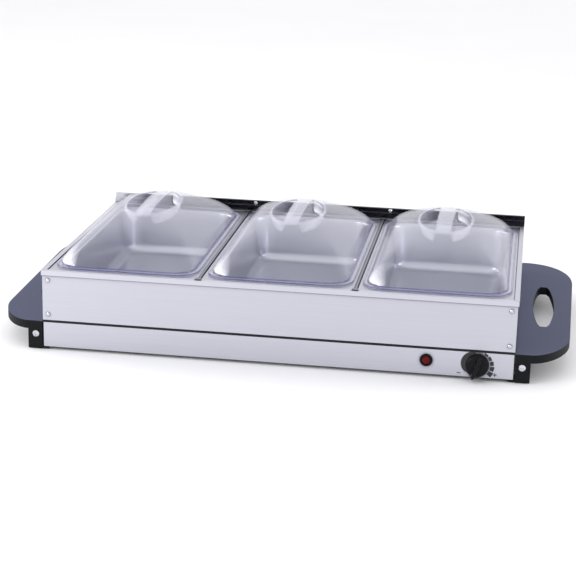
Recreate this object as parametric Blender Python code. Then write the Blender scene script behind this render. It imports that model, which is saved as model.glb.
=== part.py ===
"""Electric buffet server: three lidded pans in a steel frame that stands on a warming base.

+X is to the user's right, +Y to the back and +Z up. The origin lies on the surface the server stands
on, at the middle of the plan box from the knob's nose to the cord gland.
Lengths are written in millimetres times MM, so the model is in metres.
"""

import math

import bmesh
import bpy
from mathutils import Matrix, Vector

MM = 0.001
GAP = 0.3 * MM
SHEET = 1.0 * MM
SHARP_ANGLE = math.radians(35)

# Heights
LEG_BOTTOM = 1.0 * MM
HOUSING_BOTTOM = 4.0 * MM
PLATE_TOP = 34.0 * MM
FRAME_BOTTOM = 36.9 * MM
LEDGE_TOP = 95.5 * MM
RAIL_TOP = 98.0 * MM
PANEL_TOP = RAIL_TOP - SHEET - GAP
LID_RAIL_TOP = 110.4 * MM
LID_TOP = 149.0 * MM

# Plan of the base
HOUSING_HALF_X = 279.2 * MM
HOUSING_DEPTH = 397.0 * MM
KNOB_REACH = 15.0 * MM
GLAND_REACH = 8.0 * MM
FRONT_Y = KNOB_REACH - (HOUSING_DEPTH + KNOB_REACH + GLAND_REACH) / 2
REAR_Y = FRONT_Y + HOUSING_DEPTH

# Frame that carries the pans
RAIL_OUTSET = 1.3 * MM
FRAME_HALF_X = 280.0 * MM
FRAME_DEPTH = 360.0 * MM
RAIL_FRONT_Y = FRONT_Y - RAIL_OUTSET
RAIL_REAR_Y = RAIL_FRONT_Y + FRAME_DEPTH
PANEL_HALF_X = FRAME_HALF_X - RAIL_OUTSET
PANEL_REAR_Y = RAIL_REAR_Y - RAIL_OUTSET
RAIL_HEIGHT = 6.0 * MM
RAIL_WIDTH = 6.0 * MM
REAR_STRIP = 15.0 * MM
LEDGE_WIDTH = 6.0 * MM
LEDGE_SHEET = 1.2 * MM
DIVIDER_X = 92.0 * MM
DIVIDER_WIDTH = 3.0 * MM
TAB_FLANGE = 14.0 * MM
RIVET_X = 272.0 * MM
RIVET_HEIGHTS = (44.0 * MM, 86.0 * MM)
RIVET_BORE = 1.9 * MM

# Pans and lids
PAN_X = {"left": -184.0 * MM, "centre": 0.0, "right": 184.0 * MM}
PAN_CENTRE_Y = (RAIL_FRONT_Y + RAIL_WIDTH + RAIL_REAR_Y - REAR_STRIP) / 2
PAN_FLANGE = (89.5 * MM, 169.1 * MM)
PAN_MOUTH = (79.6 * MM, 158.6 * MM)
PAN_BOTTOM = 36.5 * MM
PAN_RIM_TOP = LEDGE_TOP + GAP + SHEET
LID_RIM = (87.0 * MM, 163.0 * MM)
LID_FOOT = (81.5 * MM, 157.0 * MM)
LID_WALL = 2.0 * MM
LID_FLANGE = 2.2 * MM
LID_BOTTOM = PAN_RIM_TOP + GAP
GRIP_OVAL = (31.5 * MM, 62.0 * MM)
GRIP_BAR_HALF = 9.5 * MM
GRIP_DEPTH = 17.0 * MM

# Handles
HANDLE_INNER_X = HOUSING_HALF_X + GAP
HANDLE_FRONT_X = 341.5 * MM
HANDLE_REAR_X = 347.0 * MM
HANDLE_TOP = 35.0 * MM
HANDLE_UNDERSIDE = 25.0 * MM
LEG_OUTER_X = 297.0 * MM
LEG_DEPTH = 22.0 * MM
HOLE_CENTRE = (310.0 * MM, 2.0 * MM)
HOLE_HALF_LENGTH = 85.0 * MM
HOLE_HALF_WIDTH = 13.0 * MM
HOLE_END_HALF_WIDTH = 5.5 * MM
LEG_SCREW_X = 287.5 * MM
LEG_SCREW_Z = 19.0 * MM
SCREW_BORE = 2.3 * MM

# Controls and connections
KNOB_X = 236.0 * MM
KNOB_Z = 18.7 * MM
KNOB_RADIUS = 13.7 * MM
POINTER_REST = math.radians(198)
SHAFT_RADIUS = 3.0 * MM
BUSHING_RADIUS = 4.5 * MM
LAMP_X = 177.6 * MM
LAMP_Z = 20.6 * MM
GLAND_X = 200.0 * MM
GLAND_Z = 19.0 * MM
WALL_HOLE_RADIUS = 6.5 * MM

# Heating element
ELEMENT_RADIUS = 3.3 * MM
ELEMENT_Z = 29.2 * MM
ELEMENT_PASSES = 4
ELEMENT_PITCH = 80.0 * MM
ELEMENT_HALF_X = 190.0 * MM
ELEMENT_END_X = 235.0 * MM
CLAMP_X = 120.0 * MM

FINISHES = {}


def clear_scene():
    for old in list(bpy.data.objects):
        bpy.data.objects.remove(old, do_unlink=True)


def make_finish(name, colour, metallic, roughness, alpha=1.0):
    """Stores a Principled material under a plain name."""
    material = bpy.data.materials.new(name)
    material.use_nodes = True
    shader = material.node_tree.nodes["Principled BSDF"]
    shader.inputs["Base Color"].default_value = (*colour, 1.0)
    shader.inputs["Metallic"].default_value = metallic
    shader.inputs["Roughness"].default_value = roughness
    shader.inputs["Alpha"].default_value = alpha
    FINISHES[name] = material


def make_finishes():
    make_finish("brushed steel", (0.70, 0.70, 0.74), 1.0, 0.32)
    make_finish("pan steel", (0.66, 0.67, 0.72), 1.0, 0.22)
    make_finish("dark steel", (0.05, 0.05, 0.06), 1.0, 0.18)
    make_finish("zinc steel", (0.62, 0.63, 0.64), 1.0, 0.40)
    make_finish("bright steel", (0.85, 0.85, 0.88), 1.0, 0.20)
    make_finish("slate plastic", (0.065, 0.07, 0.095), 0.0, 0.45)
    make_finish("black plastic", (0.012, 0.013, 0.015), 0.0, 0.35)
    make_finish("black rubber", (0.02, 0.02, 0.022), 0.0, 0.80)
    make_finish("clear plastic", (0.90, 0.91, 0.97), 0.0, 0.10, 0.35)
    make_finish("red lens", (0.30, 0.01, 0.01), 0.0, 0.15)
    make_finish("white ceramic", (0.85, 0.83, 0.78), 0.0, 0.50)
    make_finish("element sheath", (0.22, 0.21, 0.20), 1.0, 0.50)
    make_finish("mica sheet", (0.62, 0.54, 0.40), 0.0, 0.60)
    make_finish("brass", (0.70, 0.52, 0.22), 1.0, 0.30)
    make_finish("lead jacket", (0.55, 0.10, 0.06), 0.0, 0.60)


def place(name, data, finish, smooth=False, location=(0, 0, 0), rotation=(0, 0, 0)):
    """Links a mesh as a named object with one of the FINISHES."""
    if not data.materials:
        data.materials.append(FINISHES[finish])
    if smooth:
        data.shade_smooth()
        data.set_sharp_from_angle(angle=SHARP_ANGLE)
    made = bpy.data.objects.new(name, data)
    made.location = location
    made.rotation_euler = rotation
    bpy.context.collection.objects.link(made)
    return made


def mesh_of(shape, name="shape"):
    """Turns a bmesh into a mesh whose faces point out."""
    bmesh.ops.recalc_face_normals(shape, faces=shape.faces)
    mesh = bpy.data.meshes.new(name)
    shape.to_mesh(mesh)
    shape.free()
    return mesh


def loft(rings, closed=False):
    """Joins rings of equal length; a one-point ring is a tip, and closed joins the last to the first."""
    shape = bmesh.new()
    loops = [[shape.verts.new(point) for point in ring] for ring in rings]
    pairs = list(zip(loops, loops[1:]))
    if closed:
        pairs.append((loops[-1], loops[0]))
    for first, second in pairs:
        count = max(len(first), len(second))
        for here in range(count):
            after = (here + 1) % count
            corners = [first[here % len(first)], first[after % len(first)],
                       second[after % len(second)], second[here % len(second)]]
            shape.faces.new(list(dict.fromkeys(corners)))
    if not closed:
        for end in (loops[0], loops[-1]):
            if len(end) > 1:
                shape.faces.new(end)
    return shape


def box(low, high):
    """A closed box between two corners."""
    shape = bmesh.new()
    low, high = Vector(low), Vector(high)
    size = Matrix.Diagonal((*(high - low), 1.0))
    bmesh.ops.create_cube(shape, size=1.0, matrix=Matrix.Translation((low + high) / 2) @ size)
    return shape


def circle(radius, height, sides):
    """A ring of points around Z."""
    steps = [2 * math.pi * step / sides for step in range(sides)]
    return [Vector((radius * math.cos(a), radius * math.sin(a), height)) for a in steps]


def turned(profile, sides, closed=False):
    """Turns (radius, height) points about Z; a zero radius makes a tip."""
    rings = []
    for radius, height in profile:
        if radius == 0:
            rings.append([Vector((0, 0, height))])
        else:
            rings.append(circle(radius, height, sides))
    return loft(rings, closed)


def outline_ring(outline, height):
    return [Vector((x, y, height)) for x, y in outline]


def rounded_rectangle(half_x, half_y, corner, corner_steps=4, side_steps=(1, 1)):
    """Outline with round corners; side_steps splits the sides along Y and along X."""
    points = []
    reach_x, reach_y = half_x - corner, half_y - corner
    for quarter in range(4):
        sign_x = (1, -1, -1, 1)[quarter]
        sign_y = (1, 1, -1, -1)[quarter]
        for step in range(corner_steps + 1):
            angle = math.pi / 2 * (quarter + step / corner_steps)
            points.append((sign_x * reach_x + corner * math.cos(angle),
                           sign_y * reach_y + corner * math.sin(angle)))
        splits = side_steps[1] if quarter in (0, 2) else side_steps[0]
        start = Vector(points[-1])
        end = Vector((-start.x, start.y)) if quarter in (0, 2) else Vector((start.x, -start.y))
        for split in range(1, splits):
            points.append(tuple(start.lerp(end, split / splits)))
    return points


def shifted(outline, x, y):
    return [(px + x, py + y) for px, py in outline]


def boolean(target, tool, operation):
    """Cuts or joins a tool mesh or object into the target for good, and removes the tool."""
    if not isinstance(tool, bpy.types.Object):
        tool = place("tool", tool, "zinc steel")
    modifier = target.modifiers.new(operation, "BOOLEAN")
    modifier.operation = operation
    modifier.solver = "EXACT"
    modifier.object = tool
    bpy.context.view_layer.update()
    graph = bpy.context.evaluated_depsgraph_get()
    result = bpy.data.meshes.new_from_object(target.evaluated_get(graph))
    target.modifiers.clear()
    result.name = target.name
    target.data = result
    bpy.data.objects.remove(tool, do_unlink=True)


def cut(target, tool):
    boolean(target, tool, "DIFFERENCE")


def join(target, tool):
    boolean(target, tool, "UNION")


def rod(radius, start, end, sides=16):
    """A cylinder mesh between two points, used as a cutter."""
    start, end = Vector(start), Vector(end)
    length = (end - start).length
    shape = turned([(radius, 0), (radius, length)], sides)
    turn = (end - start).to_track_quat("Z", "Y").to_matrix().to_4x4()
    bmesh.ops.transform(shape, matrix=Matrix.Translation(start) @ turn, verts=shape.verts)
    return mesh_of(shape)


def tube(name, points, radius, finish, sides_level=1):
    """A round tube along a list of points."""
    curve = bpy.data.curves.new(name, "CURVE")
    curve.dimensions = "3D"
    curve.bevel_depth = radius
    curve.bevel_resolution = sides_level
    curve.use_fill_caps = True
    spline = curve.splines.new("POLY")
    spline.points.add(len(points) - 1)
    for target, point in zip(spline.points, points):
        target.co = (*point, 1.0)
    return place(name, curve, finish)


def smooth_route(stops, steps=4):
    """Reads points from a Catmull-Rom curve through the stops."""
    stops = [Vector(stop) * MM for stop in stops]
    padded = [stops[0]] + stops + [stops[-1]]
    route = []
    for p0, p1, p2, p3 in zip(padded, padded[1:], padded[2:], padded[3:]):
        for step in range(steps):
            t = step / steps
            route.append(0.5 * (2 * p1 + (p2 - p0) * t + (2 * p0 - 5 * p1 + 4 * p2 - p3) * t ** 2
                                + (3 * p1 - p0 - 3 * p2 + p3) * t ** 3))
    route.append(stops[-1])
    return route


FACING_FRONT = (math.radians(90), 0, 0)
FACING_REAR = (math.radians(-90), 0, 0)


# ---- Base: housing, plate and what is inside ----

def rectangle_band(half_x, front, rear, corner, width, bottom, top):
    """A closed band that follows a rounded rectangle, as one lofted ring."""
    middle = (front + rear) / 2
    half_y = (rear - front) / 2
    outer = shifted(rounded_rectangle(half_x, half_y, corner, 3), 0, middle)
    inner_corner = max(corner - width, 0.4 * MM)
    inner = shifted(rounded_rectangle(half_x - width, half_y - width, inner_corner, 3), 0, middle)
    rings = [outline_ring(outer, bottom), outline_ring(outer, top),
             outline_ring(inner, top), outline_ring(inner, bottom)]
    return mesh_of(loft(rings, closed=True))


def make_housing():
    """Folded wall of the base, with holes for the thermostat, the lamp and the gland."""
    band = rectangle_band(HOUSING_HALF_X, FRONT_Y, REAR_Y, 2.5 * MM, SHEET, HOUSING_BOTTOM, PLATE_TOP)
    housing = place("base_housing", band, "brushed steel", smooth=True)
    reach = 5 * MM
    holes = ((KNOB_X, FRONT_Y, KNOB_Z, BUSHING_RADIUS + GAP),
             (LAMP_X, FRONT_Y, LAMP_Z, WALL_HOLE_RADIUS),
             (GLAND_X, REAR_Y, GLAND_Z, WALL_HOLE_RADIUS))
    for x, y, z, radius in holes:
        cut(housing, rod(radius, (x, y - reach, z), (x, y + reach, z)))


def make_hot_plate():
    """Warming plate with a turned-down edge, which drops into the housing."""
    half_x = HOUSING_HALF_X - SHEET - GAP
    half_y = HOUSING_DEPTH / 2 - SHEET - GAP
    middle = (FRONT_Y + REAR_Y) / 2
    skirt_bottom = 28 * MM
    outer = shifted(rounded_rectangle(half_x, half_y, 2 * MM, 3), 0, middle)
    inner = shifted(rounded_rectangle(half_x - SHEET, half_y - SHEET, 1 * MM, 3), 0, middle)
    rings = [outline_ring(inner, PLATE_TOP - SHEET), outline_ring(inner, skirt_bottom),
             outline_ring(outer, skirt_bottom), outline_ring(outer, PLATE_TOP)]
    place("hot_plate", mesh_of(loft(rings)), "brushed steel")


def make_gasket():
    """Silicone seal between the warming plate and the frame."""
    inset = 0.1 * MM
    band = rectangle_band(PANEL_HALF_X - inset, FRONT_Y + inset, PANEL_REAR_Y - inset, 3 * MM, 4 * MM,
                          PLATE_TOP + GAP, FRAME_BOTTOM - GAP)
    place("plate_gasket", band, "black rubber")


def make_bottom_cover():
    """Bottom sheet with two rows of vent slots."""
    half_y = HOUSING_DEPTH / 2 - SHEET - GAP
    outline = rounded_rectangle(HOUSING_HALF_X - SHEET - GAP, half_y, 2 * MM, 3)
    outline = shifted(outline, 0, (FRONT_Y + REAR_Y) / 2)
    sheet = loft([outline_ring(outline, HOUSING_BOTTOM), outline_ring(outline, HOUSING_BOTTOM + SHEET)])
    cover = place("bottom_cover", mesh_of(sheet), "zinc steel")
    slot_half = (15 * MM, 1.5 * MM)
    for column in (-180, -60, 60, 180):
        for row in (-150, 155):
            centre = Vector((column, row)) * MM
            slot = box((centre.x - slot_half[0], centre.y - slot_half[1], 0),
                       (centre.x + slot_half[0], centre.y + slot_half[1], HOUSING_BOTTOM + 5 * MM))
            cut(cover, mesh_of(slot))


def make_insulation():
    bottom = HOUSING_BOTTOM + SHEET + GAP
    sheet = box((-270 * MM, FRONT_Y + 8 * MM, bottom), (270 * MM, REAR_Y - 8 * MM, bottom + 1.5 * MM))
    place("insulation_sheet", mesh_of(sheet), "mica sheet")


def element_route():
    """A serpentine: straight passes along X, joined by half circles."""
    points = []
    turn_radius = ELEMENT_PITCH / 2
    first_y = -ELEMENT_PITCH * (ELEMENT_PASSES - 1) / 2
    arc_steps = 8
    points.append(Vector((ELEMENT_END_X, first_y, ELEMENT_Z)))
    for row in range(ELEMENT_PASSES - 1):
        side = -1 if row % 2 == 0 else 1
        centre_y = first_y + ELEMENT_PITCH * (row + 0.5)
        for step in range(arc_steps + 1):
            angle = -math.pi / 2 + math.pi * step / arc_steps
            points.append(Vector((side * (ELEMENT_HALF_X + turn_radius * math.cos(angle)),
                                  centre_y + turn_radius * math.sin(angle), ELEMENT_Z)))
    points.append(Vector((ELEMENT_END_X, -first_y, ELEMENT_Z)))
    return points


def make_heating():
    """Tubular element under the plate, the two straps that hold it, and its thermal fuse."""
    tube("heating_element", element_route(), ELEMENT_RADIUS, "element sheath", sides_level=2)
    strap_half, foot = 136 * MM, 1.2 * MM
    strap_bottom = ELEMENT_Z - ELEMENT_RADIUS - GAP - foot
    strap_top = PLATE_TOP - SHEET - 0.5 * MM
    section = [(-strap_half, strap_top), (-strap_half, strap_bottom), (strap_half, strap_bottom),
               (strap_half, strap_top), (strap_half - foot, strap_top),
               (strap_half - foot, strap_bottom + foot), (foot - strap_half, strap_bottom + foot),
               (foot - strap_half, strap_top)]
    for side, sign in (("left", -1), ("right", 1)):
        ends = [[Vector((sign * CLAMP_X + half, y, z)) for y, z in section] for half in (-7 * MM, 7 * MM)]
        place("element_clamp_" + side, mesh_of(loft(ends)), "zinc steel")
    first_y = -ELEMENT_PITCH * (ELEMENT_PASSES - 1) / 2
    fuse = turned([(1.6 * MM, 0), (2.6 * MM, 2 * MM), (2.6 * MM, 14 * MM), (1.6 * MM, 16 * MM)], 12)
    place("thermal_fuse", mesh_of(fuse), "white ceramic", smooth=True,
          location=(ELEMENT_END_X + GAP, first_y, ELEMENT_Z), rotation=(0, math.radians(90), 0))


def make_thermostat():
    """Thermostat body with its threaded bushing, the nut that holds it, and the turning shaft."""
    inner_y = FRONT_Y + SHEET + GAP
    body = place("thermostat_body", mesh_of(box((KNOB_X - 14 * MM, inner_y, 9 * MM),
                                                (KNOB_X + 14 * MM, inner_y + 23 * MM, 27.5 * MM))),
                 "white ceramic")
    bushing_end = FRONT_Y - 3.5 * MM
    join(body, rod(BUSHING_RADIUS, (KNOB_X, inner_y + 3 * MM, KNOB_Z), (KNOB_X, bushing_end, KNOB_Z)))
    bore_end = inner_y + 10 * MM
    cut(body, rod(SHAFT_RADIUS + GAP, (KNOB_X, bushing_end - 2 * MM, KNOB_Z), (KNOB_X, bore_end, KNOB_Z)))
    nut_flats = 14 * MM
    nut_radius = nut_flats / 2 / math.cos(math.pi / 6)
    nut_top = 2.5 * MM
    bore = BUSHING_RADIUS + GAP
    nut = place("thermostat_nut", mesh_of(turned([(nut_radius, 0), (nut_radius, nut_top)], 6)), "brass",
                location=(KNOB_X, FRONT_Y - GAP, KNOB_Z), rotation=FACING_FRONT)
    cut(nut, rod(bore, (KNOB_X, FRONT_Y + 5 * MM, KNOB_Z), (KNOB_X, FRONT_Y - 10 * MM, KNOB_Z)))
    shaft_length = bore_end - GAP - (FRONT_Y - 11.5 * MM)
    place("thermostat_shaft", mesh_of(turned([(SHAFT_RADIUS, 0), (SHAFT_RADIUS, shaft_length)], 16)),
          "bright steel", smooth=True, location=(KNOB_X, bore_end - GAP, KNOB_Z), rotation=FACING_FRONT)


def make_knob():
    """Round control knob with a raised grip bar that ends in a pointer; its back is hollow."""
    back = 0.7 * MM
    skirt = [(KNOB_RADIUS, back), (KNOB_RADIUS, back + 2 * MM), (KNOB_RADIUS - 0.6 * MM, back + 3 * MM),
             (KNOB_RADIUS - 1.3 * MM, 7.2 * MM), (KNOB_RADIUS - 2.3 * MM, 8 * MM)]
    knob = place("control_knob", mesh_of(turned(skirt, 32)), "black plastic",
                 location=(KNOB_X, FRONT_Y, KNOB_Z), rotation=FACING_FRONT)
    levels = ((3.0 * MM, 4.6 * MM, 16.6 * MM), (10.0 * MM, 3.4 * MM, 15.6 * MM),
              (KNOB_REACH - 1 * MM, 2.3 * MM, 14.4 * MM), (KNOB_REACH, 1.4 * MM, 13.4 * MM))
    turn = Matrix.Rotation(-POINTER_REST, 3, "Z")
    tip_half, shoulder, tail, tail_corner = 0.9 * MM, 6 * MM, 12.3 * MM, 2 * MM
    rings = []
    for height, half_width, tip in levels:
        outline = [(tip_half, tip), (-tip_half, tip),
                   (-half_width, tip - shoulder), (-half_width, tail_corner - tail),
                   (-half_width * 0.6, -tail), (half_width * 0.6, -tail),
                   (half_width, tail_corner - tail), (half_width, tip - shoulder)]
        rings.append([turn @ Vector((x, y, height)) for x, y in outline])
    grip = place("grip", mesh_of(loft(rings)), "black plastic",
                 location=knob.location, rotation=FACING_FRONT)
    join(knob, grip)
    hollow_end = FRONT_Y - 4.2 * MM
    cut(knob, rod(11 * MM, (KNOB_X, FRONT_Y + 5 * MM, KNOB_Z), (KNOB_X, hollow_end, KNOB_Z), 24))
    cut(knob, rod(SHAFT_RADIUS + 0.2 * MM, (KNOB_X, FRONT_Y, KNOB_Z), (KNOB_X, FRONT_Y - 12 * MM, KNOB_Z)))
    knob.data.shade_smooth()
    knob.data.set_sharp_from_angle(angle=SHARP_ANGLE)


def make_lamp():
    """Indicator lamp: bezel through the housing, red lens in the bezel, neon bulb behind it."""
    spot = (LAMP_X, FRONT_Y, LAMP_Z)
    bezel = [(5.3 * MM, -7 * MM), (6.2 * MM, -7 * MM), (6.2 * MM, GAP), (7.3 * MM, GAP),
             (7.3 * MM, 1.2 * MM), (6.8 * MM, 1.9 * MM), (5.7 * MM, 1.9 * MM), (5.3 * MM, 1.4 * MM)]
    place("lamp_bezel", mesh_of(turned(bezel, 24, closed=True)), "black plastic", smooth=True,
          location=spot, rotation=FACING_FRONT)
    lens = [(5 * MM, -3 * MM), (5 * MM, 1.3 * MM), (4.2 * MM, 2.2 * MM), (2.4 * MM, 2.9 * MM),
            (0, 3.1 * MM)]
    place("lamp_lens", mesh_of(turned(lens, 20)), "red lens", smooth=True,
          location=spot, rotation=FACING_FRONT)
    bulb = [(1.2 * MM, -19 * MM), (2.5 * MM, -17.5 * MM), (2.5 * MM, -6.5 * MM), (1.5 * MM, -4.5 * MM),
            (0, -4 * MM)]
    place("neon_bulb", mesh_of(turned(bulb, 12)), "red lens", smooth=True,
          location=spot, rotation=FACING_FRONT)


def make_gland():
    """Cord gland in the rear wall: a flange, a tapered nose and a barrel with a bore right through."""
    bore = 3.5 * MM
    profile = [(bore, -9 * MM), (6.2 * MM, -9 * MM), (6.2 * MM, GAP), (9 * MM, GAP), (9 * MM, 2.5 * MM),
               (7.2 * MM, 3.2 * MM), (6 * MM, GLAND_REACH), (bore, GLAND_REACH)]
    place("cord_gland", mesh_of(turned(profile, 20, closed=True)), "black plastic", smooth=True,
          location=(GLAND_X, REAR_Y, GLAND_Z), rotation=FACING_REAR)


def make_wiring():
    """Terminal block and the four leads that stay inside the base."""
    block = box((185 * MM, 165 * MM, 8 * MM), (215 * MM, 183 * MM, 22 * MM))
    place("terminal_block", mesh_of(block), "white ceramic")
    lead = 1.3 * MM
    tube("live_lead", smooth_route([(200, 164.4, 15), (200, 145, 14), (214, 120, 12), (230, 90, 12),
                                    (231, 20, 12), (231, -60, 12), (230, -125, 13), (230, -150, 14),
                                    (230, -170.2, 15)]), lead, "lead jacket")
    tube("neutral_lead", smooth_route([(209, 164.4, 15), (211, 152, 16), (224, 142, 20), (240, 136, 25),
                                       (250, 127, 28.5), (247, 120.5, 29.2), (235.6, 120, 29.2)]),
         lead, "lead jacket")
    tube("switched_lead", smooth_route([(244, -170.2, 18), (246, -158, 18), (255, -147, 21), (262, -135, 26),
                                        (262, -123, 29), (252, -120, 29.2)]), lead, "lead jacket")
    tube("lamp_lead", smooth_route([(177.6, -175.4, 20.6), (178, -162, 18), (183, -140, 13), (188, -100, 11),
                                    (190, -20, 11), (190, 60, 11), (190, 120, 12), (191, 146, 14),
                                    (191, 164.4, 15)]), lead, "lead jacket")


# ---- Handles, legs, feet and their screws ----

def corner_arc(centre, radii, start, end, power, steps):
    """Points of a superellipse quarter; power 2 is a plain ellipse."""
    points = []
    for step in range(steps + 1):
        angle = math.radians(start + (end - start) * step / steps)
        across, along = math.cos(angle), math.sin(angle)
        points.append((centre[0] + radii[0] * math.copysign(abs(across) ** (2 / power), across),
                       centre[1] + radii[1] * math.copysign(abs(along) ** (2 / power), along)))
    return points


def handle_outline():
    """Plan of the right-hand wing: straight inner edge, outer edge a little wider at the rear."""
    front_radii = (HANDLE_FRONT_X - LEG_OUTER_X, 75 * MM)
    rear_radii = (64 * MM, 92 * MM)
    front_centre = (LEG_OUTER_X, FRONT_Y + front_radii[1])
    rear_centre = (HANDLE_REAR_X - rear_radii[0], REAR_Y - rear_radii[1])
    outline = [(HANDLE_INNER_X, REAR_Y), (HANDLE_INNER_X, FRONT_Y)]
    outline += corner_arc(front_centre, front_radii, -90, 0, 1.75, 20)
    outline += corner_arc(rear_centre, rear_radii, 0, 90, 2.2, 22)
    return outline


def hole_outline():
    """Plan of the hand hole: narrow flat ends and sides that bow out."""
    steps = 18
    side = []
    for step in range(steps + 1):
        along = 2 * step / steps - 1
        bow = HOLE_END_HALF_WIDTH + (HOLE_HALF_WIDTH - HOLE_END_HALF_WIDTH) * (1 - along ** 2)
        round_end = 0.72 if step in (0, steps) else 1.0
        side.append((bow * round_end, along * HOLE_HALF_LENGTH))
    outline = side + [(-x, y) for x, y in reversed(side)]
    return shifted(outline, *HOLE_CENTRE)


def is_rim(edge, top):
    """True on the plate's top edges, apart from the straight one against the housing."""
    on_top = all(abs(vert.co.z - top) < GAP / 10 for vert in edge.verts)
    inner = all(abs(abs(vert.co.x) - HANDLE_INNER_X) < GAP / 10 for vert in edge.verts)
    return on_top and not inner


def make_handle(side, sign):
    """Moulded wing with a hand hole, a web against the housing and a leg at each end."""
    outline = [(sign * x, y) for x, y in handle_outline()]
    plate = loft([outline_ring(outline, HANDLE_UNDERSIDE), outline_ring(outline, HANDLE_TOP)])
    rim = [edge for edge in plate.edges if is_rim(edge, HANDLE_TOP)]
    bmesh.ops.bevel(plate, geom=rim, offset=1.4 * MM, segments=3, affect="EDGES", profile=0.6)
    handle = place(side + "_handle", mesh_of(plate), "slate plastic")

    hole = [(sign * x, y) for x, y in hole_outline()]
    cut(handle, mesh_of(loft([outline_ring(hole, 10 * MM), outline_ring(hole, 50 * MM)])))

    lap = 1 * MM
    leg_spans = ((FRONT_Y, FRONT_Y + LEG_DEPTH), (REAR_Y - LEG_DEPTH, REAR_Y))
    web_outer = HANDLE_INNER_X + 3 * MM
    web = box((sign * HANDLE_INNER_X, FRONT_Y + LEG_DEPTH - lap, HOUSING_BOTTOM),
              (sign * web_outer, REAR_Y - LEG_DEPTH + lap, HANDLE_UNDERSIDE + lap))
    join(handle, mesh_of(web))
    for low_y, high_y in leg_spans:
        leg = box((sign * HANDLE_INNER_X, low_y, LEG_BOTTOM),
                  (sign * LEG_OUTER_X, high_y, HANDLE_UNDERSIDE + lap))
        join(handle, mesh_of(leg))
        lip = box((sign * (HANDLE_INNER_X - 7 * MM), low_y + lap, LEG_BOTTOM),
                  (sign * (HANDLE_INNER_X + lap), high_y - lap, HOUSING_BOTTOM - GAP))
        join(handle, mesh_of(lip))
        middle = (low_y + high_y) / 2
        face, inside = (low_y, 1) if low_y == FRONT_Y else (high_y, -1)
        cut(handle, rod(SCREW_BORE, (sign * LEG_SCREW_X, face - inside * 2 * MM, LEG_SCREW_Z),
                        (sign * LEG_SCREW_X, face + inside * 13 * MM, LEG_SCREW_Z), 12))
        pocket = foot_outline(sign, middle, GAP)
        cut(handle, mesh_of(loft([outline_ring(pocket, -5 * MM), outline_ring(pocket, 2.5 * MM)])))
        foot = foot_outline(sign, middle, 0)
        end = "front" if low_y == FRONT_Y else "rear"
        pad = loft([outline_ring(foot, 0), outline_ring(foot, 2.2 * MM)])
        place(f"foot_pad_{end}_{side}", mesh_of(pad), "black rubber")


def foot_outline(sign, middle_y, grow):
    outline = rounded_rectangle(6.5 * MM + grow, 8 * MM + grow, 3 * MM + grow, 3)
    return shifted(outline, sign * (HANDLE_INNER_X + LEG_OUTER_X) / 2, middle_y)


def cross_recess(head_radius, head_top):
    """Cutter for a cross-head drive, as one plus-shaped prism."""
    arm, half = head_radius * 0.62, head_radius * 0.14
    plus = [(arm, -half), (arm, half), (half, half), (half, arm), (-half, arm), (-half, half),
            (-arm, half), (-arm, -half), (-half, -half), (-half, -arm), (half, -arm), (half, -half)]
    floor = [(x * 0.7, y * 0.7) for x, y in plus]
    rings = [outline_ring(floor, head_top * 0.4), outline_ring(plus, head_top + 1 * MM)]
    return mesh_of(loft(rings))


def screw_mesh(name, head_radius, head_top, shank_radius, shank_length):
    """Pan-head screw along Z, its head standing on z = GAP."""
    profile = [(shank_radius, -shank_length), (shank_radius, GAP), (head_radius, GAP),
               (head_radius * 0.97, head_top * 0.45), (head_radius * 0.75, head_top * 0.85),
               (head_radius * 0.35, head_top)]
    screw = place(name, mesh_of(turned(profile, 16)), "bright steel")
    cut(screw, cross_recess(head_radius, head_top))
    mesh = screw.data
    bpy.data.objects.remove(screw, do_unlink=True)
    return mesh


def make_handle_screws():
    mesh = screw_mesh("handle_screw", 4.3 * MM, 2.5 * MM, 2 * MM, 12 * MM)
    for side, sign in (("left", -1), ("right", 1)):
        for end, y, facing in (("front", FRONT_Y, FACING_FRONT), ("rear", REAR_Y, FACING_REAR)):
            place(f"handle_screw_{end}_{side}", mesh, "bright steel", smooth=True,
                  location=(sign * LEG_SCREW_X, y, LEG_SCREW_Z), rotation=facing)


# ---- Frame ----

def make_end_panels():
    """Front and rear panels, each with four rivet holes."""
    for name, outer, inner in (("frame_front_panel", FRONT_Y, FRONT_Y + SHEET),
                               ("frame_rear_panel", PANEL_REAR_Y, PANEL_REAR_Y - SHEET)):
        low_y, high_y = min(outer, inner), max(outer, inner)
        sheet = box((-PANEL_HALF_X, low_y, FRAME_BOTTOM), (PANEL_HALF_X, high_y, PANEL_TOP))
        panel = place(name, mesh_of(sheet), "brushed steel")
        for sign in (-1, 1):
            for height in RIVET_HEIGHTS:
                cut(panel, rod(RIVET_BORE, (sign * RIVET_X, low_y - 5 * MM, height),
                               (sign * RIVET_X, high_y + 5 * MM, height), 12))


def make_side_panels():
    """Side panels whose bent ends lie behind the front and rear panels."""
    front, rear = FRONT_Y + SHEET + GAP, PANEL_REAR_Y - SHEET - GAP
    for side, sign in (("left", -1), ("right", 1)):
        outer, web = PANEL_HALF_X, PANEL_HALF_X - SHEET
        tip = PANEL_HALF_X - TAB_FLANGE
        plan = [(outer, front), (outer, rear), (tip, rear), (tip, rear - SHEET), (web, rear - SHEET),
                (web, front + SHEET), (tip, front + SHEET), (tip, front)]
        plan = [(sign * x, y) for x, y in plan]
        shape = loft([outline_ring(plan, FRAME_BOTTOM), outline_ring(plan, PANEL_TOP)])
        panel = place(f"frame_{side}_panel", mesh_of(shape), "brushed steel")
        for y in (front, rear):
            for height in RIVET_HEIGHTS:
                cut(panel, rod(RIVET_BORE, (sign * RIVET_X, y - 5 * MM, height),
                               (sign * RIVET_X, y + 5 * MM, height), 12))


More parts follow.
